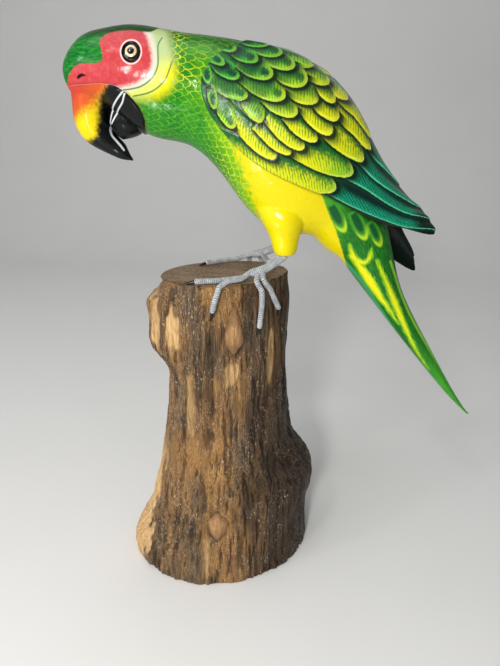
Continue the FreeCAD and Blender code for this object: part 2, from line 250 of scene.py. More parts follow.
# ---------------------------------------------------------------- material writing
def linear(code):
    """Scene-linear colour of a web colour."""
    parts = [int(code[i:i + 2], 16) / 255 for i in (0, 2, 4)]
    return [c / 12.92 if c <= 0.04045 else ((c + 0.055) / 1.055) ** 2.4 for c in parts] + [1.0]


class Value:
    """An output in a material's node tree, which adds up and multiplies like a number."""

    def __init__(self, paint, socket):
        self.paint = paint
        self.socket = socket

    def __add__(self, other):
        return self.paint.math("ADD", self, other)

    def __sub__(self, other):
        return self.paint.math("SUBTRACT", self, other)

    def __rsub__(self, other):
        return self.paint.math("SUBTRACT", other, self)

    def __mul__(self, other):
        return self.paint.math("MULTIPLY", self, other)

    def __truediv__(self, other):
        return self.paint.math("DIVIDE", self, other)

    def __abs__(self):
        return self.paint.math("ABSOLUTE", self)


class Paint:
    """A material's node tree, written as sums of values."""

    def __init__(self, name, roughness, coat=0.0, coat_roughness=0.1, specular=0.5):
        self.material = bpy.data.materials.new(name)
        self.material.use_nodes = True
        self.tree = self.material.node_tree
        self.shader = self.tree.nodes["Principled BSDF"]
        self.shader.inputs["Roughness"].default_value = roughness
        self.shader.inputs["Coat Weight"].default_value = coat
        self.shader.inputs["Coat Roughness"].default_value = coat_roughness
        self.shader.inputs["Specular IOR Level"].default_value = specular

    def node(self, kind, **settings):
        made = self.tree.nodes.new(kind)
        for key, value in settings.items():
            setattr(made, key, value)
        return made

    def plug(self, socket, value):
        if isinstance(value, Value):
            self.tree.links.new(value.socket, socket)
        elif isinstance(value, str):
            socket.default_value = linear(value)
        else:
            socket.default_value = value

    def output(self, made, *inputs):
        """Fills the inputs of a node and gives its first output."""
        for socket, value in zip(made.inputs, inputs):
            self.plug(socket, value)
        return Value(self, made.outputs[0])

    def read(self, name, vector=False):
        made = self.node("ShaderNodeAttribute", attribute_name=name)
        return Value(self, made.outputs["Vector" if vector else "Fac"])

    def where(self):
        """Place in metres."""
        return Value(self, self.node("ShaderNodeTexCoord").outputs["Object"])

    def math(self, operation, a, b=0.0):
        return self.output(self.node("ShaderNodeMath", operation=operation), a, b)

    def most(self, a, b):
        return self.math("MAXIMUM", a, b)

    def rise(self, value, low, high, to_low=0.0, to_high=1.0):
        """Eased step between two levels of a value; low may be the larger one."""
        if low > high:
            low, high, to_low, to_high = high, low, to_high, to_low
        made = self.node("ShaderNodeMapRange", interpolation_type="SMOOTHSTEP")
        return self.output(made, value, low, high, to_low, to_high)

    def parts(self, vector):
        made = self.node("ShaderNodeSeparateXYZ")
        self.plug(made.inputs[0], vector)
        return [Value(self, socket) for socket in made.outputs]

    def stretch(self, vector, scale):
        made = self.node("ShaderNodeVectorMath", operation="MULTIPLY")
        return self.output(made, vector, scale)

    def noise(self, vector, scale=1.0, detail=2.0, roughness=0.5, colour=False):
        made = self.node("ShaderNodeTexNoise")
        self.plug(made.inputs["Vector"], vector)
        made.inputs["Scale"].default_value = scale
        made.inputs["Detail"].default_value = detail
        made.inputs["Roughness"].default_value = roughness
        return Value(self, made.outputs["Color" if colour else "Fac"])

    def wobble(self, vector, scale, strength):
        """The vector pushed about by noise."""
        push = self.node("ShaderNodeVectorMath", operation="MULTIPLY_ADD")
        return self.output(push, self.noise(vector, scale, colour=True), [strength] * 3, vector)

    def mix(self, factor, a, b):
        made = self.node("ShaderNodeMix", data_type="RGBA")
        self.plug(made.inputs["Factor"], factor)
        self.plug(made.inputs[6], a)
        self.plug(made.inputs[7], b)
        return Value(self, made.outputs[2])

    def fade(self, value, low, high, a, b, share=1.0):
        """Colour a up to one level of a value, and from the other level on a share of colour b."""
        return self.mix(self.rise(value, low, high, 0.0, share), a, b)

    def finish(self, colour, height=None, depth=0.1, roughness=None):
        """Connects the colour, a bump in millimetres and a varying roughness."""
        self.plug(self.shader.inputs["Base Color"], colour)
        if height is not None:
            bump = self.node("ShaderNodeBump")
            bump.inputs["Distance"].default_value = depth * MM
            self.plug(bump.inputs["Height"], height)
            self.tree.links.new(bump.outputs[0], self.shader.inputs["Normal"])
            self.tree.links.new(bump.outputs[0], self.shader.inputs["Coat Normal"])
        if roughness is not None:
            self.plug(self.shader.inputs["Roughness"], roughness)
        return self.material


def show(piece, material, slot, *nodes):
    """Gives a piece its material and its place in the frame."""
    piece.data.materials.clear()
    piece.data.materials.append(material)
    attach(piece, "root")
    if nodes:
        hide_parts(*nodes)


# ---------------------------------------------------------------- body and tail
# Middle line of the bird from brow to tail tip: x, z
SPINE = [(-76, 300), (-55, 300), (-30, 295), (-17, 293), (-3, 287), (9, 280), (21, 272), (32, 263),
         (42, 255), (52, 248), (62, 237), (73, 225), (90, 193), (118, 156), (158, 110)]
HEAD_BACK = -20.0             # x behind which the head's paint ends
GIRTH = 24.0                  # radius that turns an angle round the body into a length

# Cap's lower edge from the cere to the crown, then over the head: x, z
CAP = [(-80, 294.5), (-77, 298.2), (-73.5, 301.2), (-70, 302.5), (-66.5, 302.8), (-63, 302.8),
       (-60, 303.4), (-58.6, 305), (-59.2, 308.6), (-60.3, 312), (-58.4, 315), (-54, 316.8),
       (-47, 317.5), (-42, 317.4), (-36, 318.4), (-32, 330), (-60, 336), (-90, 320), (-90, 300)]
# Red face patch: x, z
MASK = [(-86, 286), (-75, 286), (-66, 288), (-59, 291), (-53, 292.8), (-50.4, 293.2),
        (-45.4, 294.2), (-41, 296.1), (-37.8, 298.5), (-35.9, 301.8), (-35.4, 305.5), (-36.1, 309.3),
        (-37.2, 312.6), (-38.6, 315.6), (-40.7, 319), (-46, 330), (-70, 326), (-90, 312)]
FACE_LINES = [
    [(-32, 314.9), (-33.3, 311.8), (-33.2, 307.9), (-33, 304.2), (-33.9, 300.5), (-36.8, 296.7),
     (-41.2, 294), (-45.6, 292.8), (-50, 292.2)],
    [(-26.4, 304.8), (-27.6, 301.5), (-29.2, 297.8), (-31.7, 295), (-35, 292.6), (-39.4, 290.9),
     (-45.5, 289.7)],
]
NOSTRIL = [(-73, 296.8), (-71.6, 298.3), (-69.6, 298.7), (-67.6, 297.9), (-69.8, 297.5), (-71.8, 296.6)]
# Beak outline, back along the cheek and under the chin: x, z
BEAK = [(-90, 294.2), (-80, 293.6), (-72, 294.1), (-62, 294.7), (-55, 294.3), (-52.6, 293.5),
        (-50.4, 292.2), (-48.2, 290.8), (-46.3, 289), (-44.5, 286.9), (-43, 284.6), (-41.9, 281.8),
        (-41.6, 279), (-42.6, 275.6), (-46, 268), (-56, 254), (-90, 254)]
# Black part of the upper beak: its front edge, then round the back: x, z
BEAK_BLACK = [(-56.5, 295), (-60.6, 291.2), (-64.2, 287.9), (-65.8, 284), (-66.4, 279.9),
                   (-67.6, 275.8), (-68.2, 271.6), (-72.6, 268.8), (-80, 268.2),
                   (-90, 250), (-40, 250), (-40, 300)]
CUTTING_LINES = [
    [(-50.2, 291.6), (-54.3, 288), (-58.6, 283.7), (-60.8, 279.4), (-62.4, 275.6), (-61.8, 272),
     (-59.6, 268.8), (-56.6, 264.8)],
    [(-49.4, 290.8), (-51.3, 287.1), (-55.7, 283.1), (-58.8, 279.4), (-60.6, 277.4)],
]
CHEEK_STEP = 0.9              # how far the black cheek stands proud of the neck
CUTTING_WHITE = "c6cac9"
BEAK_TIP, BEAK_ROOT = (-53.4, 0, 260.6), (-59, 0, 264.6)
EYE_X, EYE_Z = -45.6, 308.2
SCALES_START = [(-31, 325), (-28.6, 315), (-26.6, 309), (-24.6, 302.5), (-25, 298), (-28, 292.6),
                (-33, 289.4), (-38, 288.8), (-44, 288.6), (-50, 284)]
# Where the yellow of thigh and rump gives way to the green of the tail: x, z
RUMP_EDGE = [(40, 262), (48.5, 245), (52.2, 237.7), (56.5, 230), (62, 218), (70, 200)]
# Rimmed feathers at the root of the tail: tip x, z, turn, length, width
TAIL_FEATHERS = [(61.8, 228.6, -57, 18, 7.4), (73.8, 224.6, -57, 18, 7.2), (83, 220.8, -58, 16, 6.2)]
TAIL_LOOP = [(65.2, 222), (67.6, 216.8), (70.6, 212.8), (74.6, 211.6), (77, 214.6), (77.6, 220)]
# Yellow brush strokes down the tail: points and half widths at the two ends and the middle
TAIL_STREAKS = [
    ([(67.4, 215), (75.5, 206), (84, 195), (92.4, 184.6), (100.5, 174.6)], (1.3, 2.9, 0.4)),
    ([(81.6, 213), (88.2, 201.6), (94.8, 190), (104.2, 173.2), (113.8, 157.7), (124.5, 144)],
     (0.9, 2.1, 0.4)),
]
TAIL_LOW_LINE = [(62, 213), (75, 200.6), (85.7, 186.8), (100, 168), (118, 148), (135, 131)]
TAIL_HIGH_LINE = [(90, 212), (94, 204), (99.8, 192), (108.6, 177), (123.3, 156.4), (142, 131)]


def spine_chart(points):
    """Length along the spine, and height above it on the bird's back side."""
    line = curve_through(SPINE, steps=3)
    spans = line[1:] - line[:-1]
    steps = np.concatenate([[0], np.cumsum(np.hypot(*spans.T))])
    _, share = line_distance(points[:, [0, 2]], line)
    run = share * steps[-1]
    mid_x = np.interp(run, steps, line[:, 0])
    mid_z = np.interp(run, steps, line[:, 1])
    slope = np.interp(run, steps[:-1], np.arctan2(*spans.T[::-1]))
    above = -(points[:, 0] - mid_x) * np.sin(slope) + (points[:, 2] - mid_z) * np.cos(slope)
    return run, above


def feather_shape(places, tip, turn, length, width):
    """Distance back from a feather's tip, distance across, and depth inside its edge."""
    heading = math.radians(turn)
    along = np.array([math.cos(heading), math.sin(heading)])
    across = np.array([-along[1], along[0]])
    back = (np.array(tip) - places) @ along
    aside = (places - np.array(tip)) @ across
    half = width / 2
    round_part = min(0.62 * length, 1.5 * width)
    taper = 1 - 0.25 * ease(round_part, length, back)
    toward_tip = np.clip((round_part - back) / round_part, 0, None)
    depth = (1 - np.sqrt(toward_tip ** 2 + (aside / (half * taper)) ** 2)) * half
    depth = np.minimum(depth, length - back)
    return back, aside / half, depth


def paint_head(mesh, points):
    """Stores how far each point lies inside the painted regions of the head, or from their lines."""
    places = points[:, [0, 2]]
    head = places[:, 0] < HEAD_BACK

    def keep(name, find, default):
        store(mesh, **{name: near_only(places, head, find, default)})

    for name, outline, default in (("cap", CAP, -9), ("mask", MASK, -20), ("nostril", NOSTRIL, -9)):
        smooth = curve_through(outline, True, 4)
        keep(name, lambda p: region_depth(p, smooth), default)
    for name, outline in (("beak", BEAK), ("beak_black", BEAK_BLACK)):
        keep(name, lambda p: region_depth(p, np.array(outline, float)), -9)
    for name, lines in (("face_line", FACE_LINES), ("cutting", CUTTING_LINES)):
        keep(name, lambda p: nearest_line(p, lines), 9)
    keep("eye", lambda p: np.hypot(p[:, 0] - EYE_X, (p[:, 1] - EYE_Z) * 0.94), 30)


def paint_body(mesh, points):
    run, above = spine_chart(points)
    round_body = GIRTH * np.arctan2(above, np.abs(points[:, 1]))
    places = points[:, [0, 2]]
    scales = np.array(SCALES_START + [(-50, 180), (200, 180), (200, 330)], float)
    rump = np.array(RUMP_EDGE + [(70, 60), (200, 60), (200, 300)], float)
    yellow = ease(2, 19, points[:, 0] + 0.35 * (points[:, 2] - 250)) * ease(9, -1, above)
    store(mesh, place=points, net=np.column_stack([run, round_body, np.zeros(len(run))]), above=above,
          scaled=region_depth(places, scales), tail_green=region_depth(places, rump), yellow=yellow)


def paint_tail(mesh, points):
    places = points[:, [0, 2]]
    near = places[:, 0] > 35
    some = places[near]
    core = np.full(len(some), -9.0)
    end = np.zeros(len(some))
    for x, z, turn, length, width in TAIL_FEATHERS:
        back, _, depth = feather_shape(some, (x, z), turn, length, width)
        core = np.maximum(core, depth)
        end = np.maximum(end, ease(9, 2, back) * (depth > -0.6))
    gap, share = line_distance(some, curve_through(TAIL_LOOP))
    stroke = 1.7 * np.sin(math.pi * np.clip(share * 0.9 + 0.05, 0, 1)) ** 0.6 - gap
    for line, (first, middle, last) in TAIL_STREAKS:
        gap, share = line_distance(some, curve_through(line))
        half = np.interp(share, [0, 0.35, 1], [first, middle, last])
        stroke = np.maximum(stroke, half - gap)
    low, _ = line_distance(some, curve_through(TAIL_LOW_LINE))
    high, _ = line_distance(some, curve_through(TAIL_HIGH_LINE))
    for name, values, default in (("tail_rim", core, -9), ("tail_end", end, 0), ("streak", stroke, -9),
                                  ("low_line", low, 30), ("high_line", high, 30)):
        whole = np.full(len(points), float(default))
        whole[near] = values
        store(mesh, **{name: whole})


def sharpened(points):
    """Points of the body with the last few millimetres of the upper beak drawn in to a point."""
    tip, root = np.array(BEAK_TIP), np.array(BEAK_ROOT)
    ahead = (tip - root) / np.linalg.norm(tip - root)
    along = (points - tip) @ ahead
    middle = tip + along[:, None] * ahead
    pull = 0.7 * ease(8, 0, np.linalg.norm(points - tip, axis=1))[:, None]
    return points + (middle - points + ahead) * pull


def build_body():
    piece = skin("parrot_body", ["body", "tail"], 1.0)
    mesh = piece.data
    points, normals = points_of(mesh), normals_of(mesh)
    outline = np.array(BEAK, float)
    cheek = near_only(points[:, [0, 2]], points[:, 0] < -38, lambda p: region_depth(p, outline), -9)
    step = CHEEK_STEP * ease(-0.1, 0.8, cheek) * ease(-62, -56, points[:, 0])
    move_points(mesh, sharpened(points + normals * step[:, None]))
    paint_head(mesh, points)
    paint_body(mesh, points)
    paint_tail(mesh, points)
    show(piece, body_paint(), "painted_body", "body", "tail")


def scale_net(m, net, row_pitch=3.0, column_pitch=3.9):
    """Lines of a net of fish scales that open towards the head."""
    run, around, _ = m.parts(m.wobble(net, 0.26, 3.0))
    row = run / row_pitch
    odd = m.math("MODULO", m.math("FLOOR", row), 2.0)
    aside = m.math("FRACT", around / column_pitch + odd * 0.5) - 0.5
    arc = 0.98 - aside * aside * 3.9
    gap = abs(m.math("FRACT", row) - arc) * row_pitch
    uneven = (m.noise(net, 0.5, 2.0) - 0.5) * 0.9
    return m.rise(gap + uneven, 0.68, 0.12)


def feathery_green(m, place):
    """Green paint laid on in short strokes along the bird."""
    strokes = m.noise(m.stretch(m.wobble(place, 0.1, 3.0), (0.35, 0.5, 1.1)), 1.2, 3.0)
    broad = m.noise(place, 0.09, 2.0)
    green = m.fade(strokes, 0.35, 0.7, "0c6214", "2c8a14")
    return m.fade(broad, 0.35, 0.7, green, "529c12", 0.45)


def beak_colour(m, place, fringe):
    """Yellow below, red above, black behind."""
    x, _, z = m.parts(place)
    height = z - (x + 70.0) * 0.65 + fringe
    colour = m.fade(height, 280.0, 288.5, "e8cc0a", "c65324")
    colour = m.fade(height, 289.0, 296.0, colour, "be3e2e")
    black = m.rise(m.read("beak_black") + fringe * 0.6, -1.8, 1.4)
    return m.mix(black, colour, "0b0d0e")


def plumage_colour(m, place, fringe, fine):
    """Neck, chest and belly: green under a net of scales, yellow below."""
    x, _, z = m.parts(place)
    above, belly = m.read("above"), m.read("yellow")
    net = m.read("net", vector=True)
    green = feathery_green(m, place)
    # painted shade: darker green along the top of the back
    green = m.fade(above, 17.0, 24.0, green, "0f5a1c", 0.85)
    green = m.fade(above, -8.0, -20.0, green, "1c7a1c", 0.6)
    lime = m.rise(x + z * 0.35, 84.0, 96.0, 0.0, 0.55)
    green = m.mix(lime * m.rise(above, 10.0, 0.0), green, "8cc814")
    drawn = scale_net(m, net) * m.rise(m.read("scaled"), -0.4, 0.8)
    drawn = drawn * m.rise(m.noise(net, 0.3), 0.28, 0.5, 0.35, 1.0)
    drawn = drawn * m.most(m.rise(above, 21.0, 2.0, 0.25, 1.0), m.rise(x, -17.0, -23.0))
    upper = m.most(m.rise(above, -8.0, 6.0), m.rise(x, -16.0, 2.0))
    line = m.mix(upper, "62b02c", "c2c818")
    green = m.mix(drawn * m.rise(upper, 0.0, 1.0, 0.6, 0.95), green, line)
    yellow = m.fade(fine, 0.4, 0.8, "d9c804", "e6d412", 0.35)
    mottle = (m.noise(place, 0.3, 3.0) - 0.5) * 1.1
    amount = m.rise(belly + mottle + fringe * 0.05, 0.2, 0.75)
    amount = amount * (1.0 - drawn * m.rise(belly, 1.0, 0.55, 0.0, 0.6))
    return m.mix(amount, green, yellow)


def head_colour(m, colour, place, fringe):
    """Cheek band, red face, beak and cap, over the green of the neck."""
    _, _, z = m.parts(place)
    mask, beak, eye = m.read("mask"), m.read("beak"), m.read("eye")
    # cheek band, pale beside the face and yellow behind it
    cheek = m.fade(mask, -9.0, -5.0, "ddd210", "c9d262")
    cheek = m.fade(z, 300.0, 309.0, cheek, "a3b88a", 0.8)
    cheek = m.fade(mask + fringe * 0.3, -3.4, -0.8, cheek, "cdc8b6")
    behind = m.rise(m.read("scaled") + fringe * 0.4, 3.4, -3.4) * m.rise(beak, 0.3, -0.1)
    colour = m.mix(behind * m.rise(m.read("above"), 25.5, 21.5), colour, cheek)
    # face with its pale and black rings round the eye, and thin lines behind it
    red = m.fade(m.noise(place, 0.5, 3.0), 0.35, 0.75, "b8383e", "c65a57", 0.5)
    face = m.fade(mask + fringe * 0.35, 1.8, -0.6, red, "dcc2b6")
    colour = m.mix(m.rise(mask, -1.2, 0.4) * m.rise(beak, 0.2, -0.2), colour, face)
    colour = m.fade(eye, 5.3, 4.9, colour, "efc4bc")
    colour = m.fade(eye, 4.6, 4.3, colour, "0a0807")
    line = m.rise(m.read("face_line"), 0.5, 0.2) * m.rise(beak, 0.4, 0.0)
    colour = m.mix(line * 0.9, colour, "47713f")
    # beak, with a thin dark seam round it
    colour = m.fade(abs(beak + 0.5), 0.5, 0.1, colour, "7a2a20", 0.35)
    colour = m.fade(beak, -0.25, 0.25, colour, beak_colour(m, place, fringe))
    colour = m.fade(m.read("nostril"), -0.25, 0.25, colour, "120b0c")
    # cap
    strokes = m.noise(m.stretch(m.wobble(place, 0.2, 2.0), (0.22, 0.4, 0.9)), 1.2, 2.0)
    cap = m.fade(strokes, 0.35, 0.8, "0a5a20", "2a9030")
    # painted shade: the cap darker towards the top of the head
    cap = m.fade(z, 312.0, 318.5, cap, "1a3312", 0.85)
    colour = m.fade(m.read("cap") + fringe * 0.12, -0.3, 0.5, colour, cap)
    return m.fade(m.read("cutting"), 0.52, 0.26, colour, CUTTING_WHITE)


def body_paint():
    m = Paint("parrot_paint", 0.42, coat=0.32, coat_roughness=0.1, specular=0.06)
    place = m.read("place", vector=True)
    fringe = m.noise(place, 0.7, 3.0) * 5.0 - 2.5
    fine = m.noise(place, 1.6, 3.0)
    colour = plumage_colour(m, place, fringe, fine)
    colour = head_colour(m, colour, place, fringe)
    colour = tail_colour(m, colour, place, fringe)
    ripple = m.noise(place, 0.16, 2.0) + m.noise(place, 1.3, 2.0) * 0.12
    return m.finish(colour, ripple, 0.4, m.rise(fine, 0.2, 0.9, 0.3, 0.46))


def tail_colour(m, colour, place, fringe):
    """Green tail with rimmed feathers at its root and long yellow strokes."""
    x, _, _ = m.parts(place)
    rim = m.read("tail_rim")
    streaks = m.noise(m.stretch(m.read("net", vector=True), (0.16, 1.1, 1.0)), 1.2, 3.0)
    green = m.fade(streaks, 0.32, 0.72, "0a4a1a", "2a8420")
    green = m.fade(x, 66.0, 52.0, green, "4fb52a", 0.6)
    inner = m.fade(rim, 1.0, 2.2, "3f8e26", "105226")
    green = m.fade(rim, -0.2, 0.2, green, inner)
    edge = m.rise(rim, -0.3, 0.3) * m.rise(rim, 1.3, 0.5) * m.read("tail_end")
    green = m.mix(edge, green, "a6cc26")
    stroke = m.read("streak") + (streaks - 0.5) * 4.0
    green = m.fade(stroke, -0.8, 0.5, green, "7ab41c")
    green = m.fade(stroke, 0.2, 1.6, green, "dcd612")
    green = m.fade(m.read("low_line"), 1.7, 0.5, green, "2f9858", 0.9)
    green = m.fade(m.read("high_line"), 1.2, 0.3, green, "8fd02c", 0.9)
    green = m.mix(m.rise(x, 112.0, 138.0) * 0.8, green, "3f9a20")
    return m.fade(m.read("tail_green") + fringe * 0.2, -0.3, 0.6, colour, green)


# ---------------------------------------------------------------- wings
WING_ROUND = 30.0             # radius that turns an angle round the wings into a length
WING_MIDDLE = [(-30, 291), (0, 282), (30, 263), (60, 241), (110, 222)]    # x, z
# How the far wing hangs: degrees down, share longer, the point it turns about, and its length
DROOP, REACH, SHOULDER, SPAN = 9.5, 0.14, (0.0, 292.0), 125.0
# Feather rows from the wing tip to the shoulder, each from its lower edge up:
# tip along, tip round, turn, length, width
FEATHER_ROWS = [
    [(53, 252, -19, 62, 15), (61, 260, -19, 38, 12), (66, 266, -31, 30, 11), (70, 272, -29, 25, 9),
     (71, 278, -25, 26, 9)],
    [(23, 265, -41, 30, 9), (30, 267, -36, 21, 7), (36, 269, -37, 22, 8), (42, 272, -35, 19, 7.5),
     (49, 274, -38, 22, 8), (52, 278, -34, 17, 7), (57, 284, -30, 17, 7)],
    [(16, 280, -58, 18, 9.5), (32, 282, -28, 18, 8), (42, 285, -29, 19, 9), (50, 283, -39, 12, 5.5),
     (47, 289, -30, 16, 6.5), (49, 294, -27, 16, 6), (39, 296, -27, 15, 6)],
    [(3, 277, -62, 17, 8), (9, 290, -29, 19, 9), (26, 288, -29, 23, 9), (36, 291, -28, 18, 8),
     (30, 297, -29, 16, 6.5), (40, 301, -26, 16, 6), (24, 303, -28, 18, 6), (32, 307, -25, 15, 6)],
    [(-6, 285, -79, 10, 4.5), (5, 298, -34, 15, 7.5), (20, 296, -29, 18, 7.5), (13, 303, -34, 16, 6.5),
     (18, 309, -27, 16, 6), (24, 313, -24, 14, 5.5)],
    [(-9, 296, -80, 8, 4.5), (-2, 304, -35, 13, 5.2), (3, 310, -30, 14, 5.6), (9, 315, -27, 13, 5.4)],
]
# Lower edges of the long feathers at the wing tip, the lowest first: along, round
BLADES = [
    [(30, 256), (46.5, 250), (62, 243.6), (78, 238), (92.5, 234.8), (108, 237.4), (125, 240)],
    [(40, 262), (55.3, 257.5), (68.3, 253.7), (81.3, 248.2), (93, 245.4), (104, 248), (120, 252)],
    [(50, 271), (63.3, 264.4), (73.5, 259.4), (85.6, 257), (99, 257.5), (115, 262)],
    [(60, 274), (68.7, 270.2), (76, 268.6), (88, 270), (104, 276)],
]
BLADES_FROM = 50.0            # place along the wing where they come out from under the feathers
TIP_LOW = 241.0               # place round the wing that its tip draws in to
TIP_PINCH = {-1: 0.3, 1: 0.9}    # how far, on the near side and the far side
TOP_DOWN = 2.0                # how far the top edges are pressed down on the back
WING_BLACK = "04100d"
LIFT = 1.0                    # height of a carved feather's tip over what lies under it


def wing_chart(points, side):
    """Place on the wing as length along the bird and length round it, with the droop undone."""
    x, z = points[:, 0] - SHOULDER[0], points[:, 2] - SHOULDER[1]
    if side > 0:
        far = np.hypot(x, z)
        bend = REACH / SPAN
        near = (np.sqrt(1 + 4 * bend * far) - 1) / (2 * bend)
        near = np.where(near > SPAN, far / (1 + REACH), near)
        turn = np.arctan2(z, x) + math.radians(DROOP) * np.minimum(1, near / SPAN)
        x, z = near * np.cos(turn), near * np.sin(turn)
    x, z = x + SHOULDER[0], z + SHOULDER[1]
    middle = np.interp(x, *zip(*WING_MIDDLE))
    around = middle + WING_ROUND * np.arctan2(z - middle, np.abs(points[:, 1]))
    return np.column_stack([x, around]), z - middle


def carve_feathers(places):
    """Height and paint coordinates of the overlapping feathers, laid from the tip forward."""
    count = len(places)
    height = np.zeros(count)
    inside = np.zeros((count, 3))        # back from the tip, aside, depth inside the edge, all in mm
    inside[:, 0] = 8
    inside[:, 2] = 3
    share = np.zeros(count)              # aside as a share of the feather's half width
    look = np.zeros((count, 3))          # tone, long or short, painted shadow under the edge of a feather that lies over
    kind = np.zeros(count)               # 0 bare, 1 feather, 2 blade
    for line in BLADES:
        lower = np.interp(places[:, 0], *zip(*curve_through(line)))
        over = places[:, 1] - lower
        on = (over > 0) & (places[:, 0] > BLADES_FROM)
        # painted shadow just below a blade's lower edge, on the blade beneath it
        shaded = (over <= 0) & (over > -2.6)
        look[shaded, 2] = np.maximum(look[shaded, 2], ease(-2.6, 0, over[shaded]))
        height[on] = LIFT * (0.25 + 0.75 * ease(9, 0.6, over[on])) * ease(-0.1, 0.45, over[on])
        inside[on] = np.column_stack([places[on, 0], over[on], over[on]])
        look[on] = (0, 0, 0)
        kind[on] = 2
    for row, feathers in enumerate(FEATHER_ROWS):
        for x, around, turn, length, width in feathers:
            back, aside, depth = feather_shape(places, (x, around), turn, length, width)
            # painted shadow just outside a feather's edge, on the feathers beneath it
            shaded = (depth <= 0) & (depth > -3) & (back < length) & (aside < 0.5)
            look[shaded, 2] = np.maximum(look[shaded, 2], ease(-3, -0.1, depth[shaded]) ** 1.4)
            on = depth > 0
            rise = 0.3 + 0.7 * ease(length, 0, back[on])
            crown = 1 - 0.3 * aside[on] ** 2
            lift = LIFT * (1.05 - 0.15 * row)
            height[on] = lift * rise * crown * (0.3 + 0.7 * ease(0, 0.7, depth[on]))
            tone = np.clip(0.2 + 0.0105 * x + 0.022 * (289 - around), 0.05, 0.95)
            share[on] = aside[on]
            inside[on] = np.column_stack([back[on], aside[on] * width / 2, depth[on]])
            look[on] = (tone, min(1, max(0, (3.4 - row) / 2.4)), 0)
            kind[on] = 1
    return height, inside, look, kind, share


def build_wing(name, side):
    piece = skin("carved_" + name, [name], 0.64)
    mesh = piece.data
    points, normals = points_of(mesh), normals_of(mesh)
    places, up = wing_chart(points, side)
    outward = np.column_stack([np.zeros(len(points)), points[:, 1], up])
    outward /= np.linalg.norm(outward, axis=1)[:, None]
    outer = ease(0.15, 0.5, (outward * normals).sum(1))
    height, inside, look, kind, share = carve_feathers(places)
    moved = points + normals * (height * outer)[:, None]
    # the top edges lie down on the back, and the tips draw in to a point
    moved[:, 2] -= TOP_DOWN * ease(14, 7, np.abs(points[:, 1])) * ease(56, 34, places[:, 0])
    drawn_in = TIP_PINCH[side] * ease(92, 124, places[:, 0]) * (places[:, 1] - TIP_LOW)
    angle = np.arctan2(up, np.abs(points[:, 1]))
    away = np.hypot(up, points[:, 1]) / WING_ROUND
    moved[:, 2] -= drawn_in * away * np.cos(angle)
    moved[:, 1] += side * drawn_in * away * np.sin(angle)
    move_points(mesh, spread(mesh, moved, np.zeros(len(points), bool), 2))
    store(mesh, place=points, barb=inside, look=look, kind=kind, outer=outer,
          chart=np.column_stack([places, share]))
    show(piece, wing_paint("wing_paint_" + name.split("_")[1]), "painted_wing", name)


def wing_paint(name):
    m = Paint(name, 0.42, coat=0.13, coat_roughness=0.22, specular=0.18)
    place = m.read("place", vector=True)
    back, aside, depth = m.parts(m.read("barb", vector=True))
    _, _, shade = m.parts(m.read("look", vector=True))
    along, around, _ = m.parts(m.read("chart", vector=True))
    kind = m.read("kind")
    fine = m.noise(place, 1.6, 3.0)
    rough = m.noise(place, 0.7, 2.0)
    strokes = strokes_of_feather(m, place, back, aside)
    feather = feather_colour(m, strokes, rough)
    blade = blade_colour(m, along, depth, rough, fine)
    # smooth shoulder, and the rounded lower edge
    low_edge = m.rise(around, 280.0, 272.0) * m.rise(along, 52.0, 44.0)
    straw = m.fade(rough, 0.35, 0.65, "c79c18", "b4b81c")
    bare = m.fade(fine, 0.35, 0.7, "0a5424", "15742a")
    bare = m.mix(low_edge, bare, straw)
    bare = m.fade(along, 52.0, 60.0, bare, WING_BLACK)
    colour = m.fade(kind, 0.3, 0.7, bare, feather)
    colour = m.fade(kind, 1.3, 1.7, colour, blade)
    # painted shadow under the edges of the feathers that lie over, darkest right at the edge
    colour = m.fade(shade, 0.0, 0.75, colour, "08401e", 0.68)
    colour = m.fade(shade, 0.62, 0.95, colour, "03150c", 0.9)
    under = m.fade(along, 46.0, 58.0, m.mix(low_edge, "0d5a24", straw), WING_BLACK)
    colour = m.fade(m.read("outer"), 0.5, 0.1, colour, under)
    grooves = strokes * m.rise(kind, 0.3, 0.7) * 0.35
    ripple = m.noise(place, 0.2, 2.0) - grooves * 0.12
    return m.finish(colour, ripple, 0.4, m.rise(fine, 0.2, 0.9, 0.3, 0.46))


def strokes_of_feather(m, place, back, aside):
    """Fine strokes that run down and back across each feather."""
    phase = back * 0.62 - aside * 0.44 + m.noise(place, 0.16, 1.0) * 1.4
    wave = m.rise(m.math("SINE", phase * TURN), 0.05, 0.8)
    return wave * m.rise(m.noise(place, 0.5, 2.0), 0.36, 0.56, 0.3, 1.0)


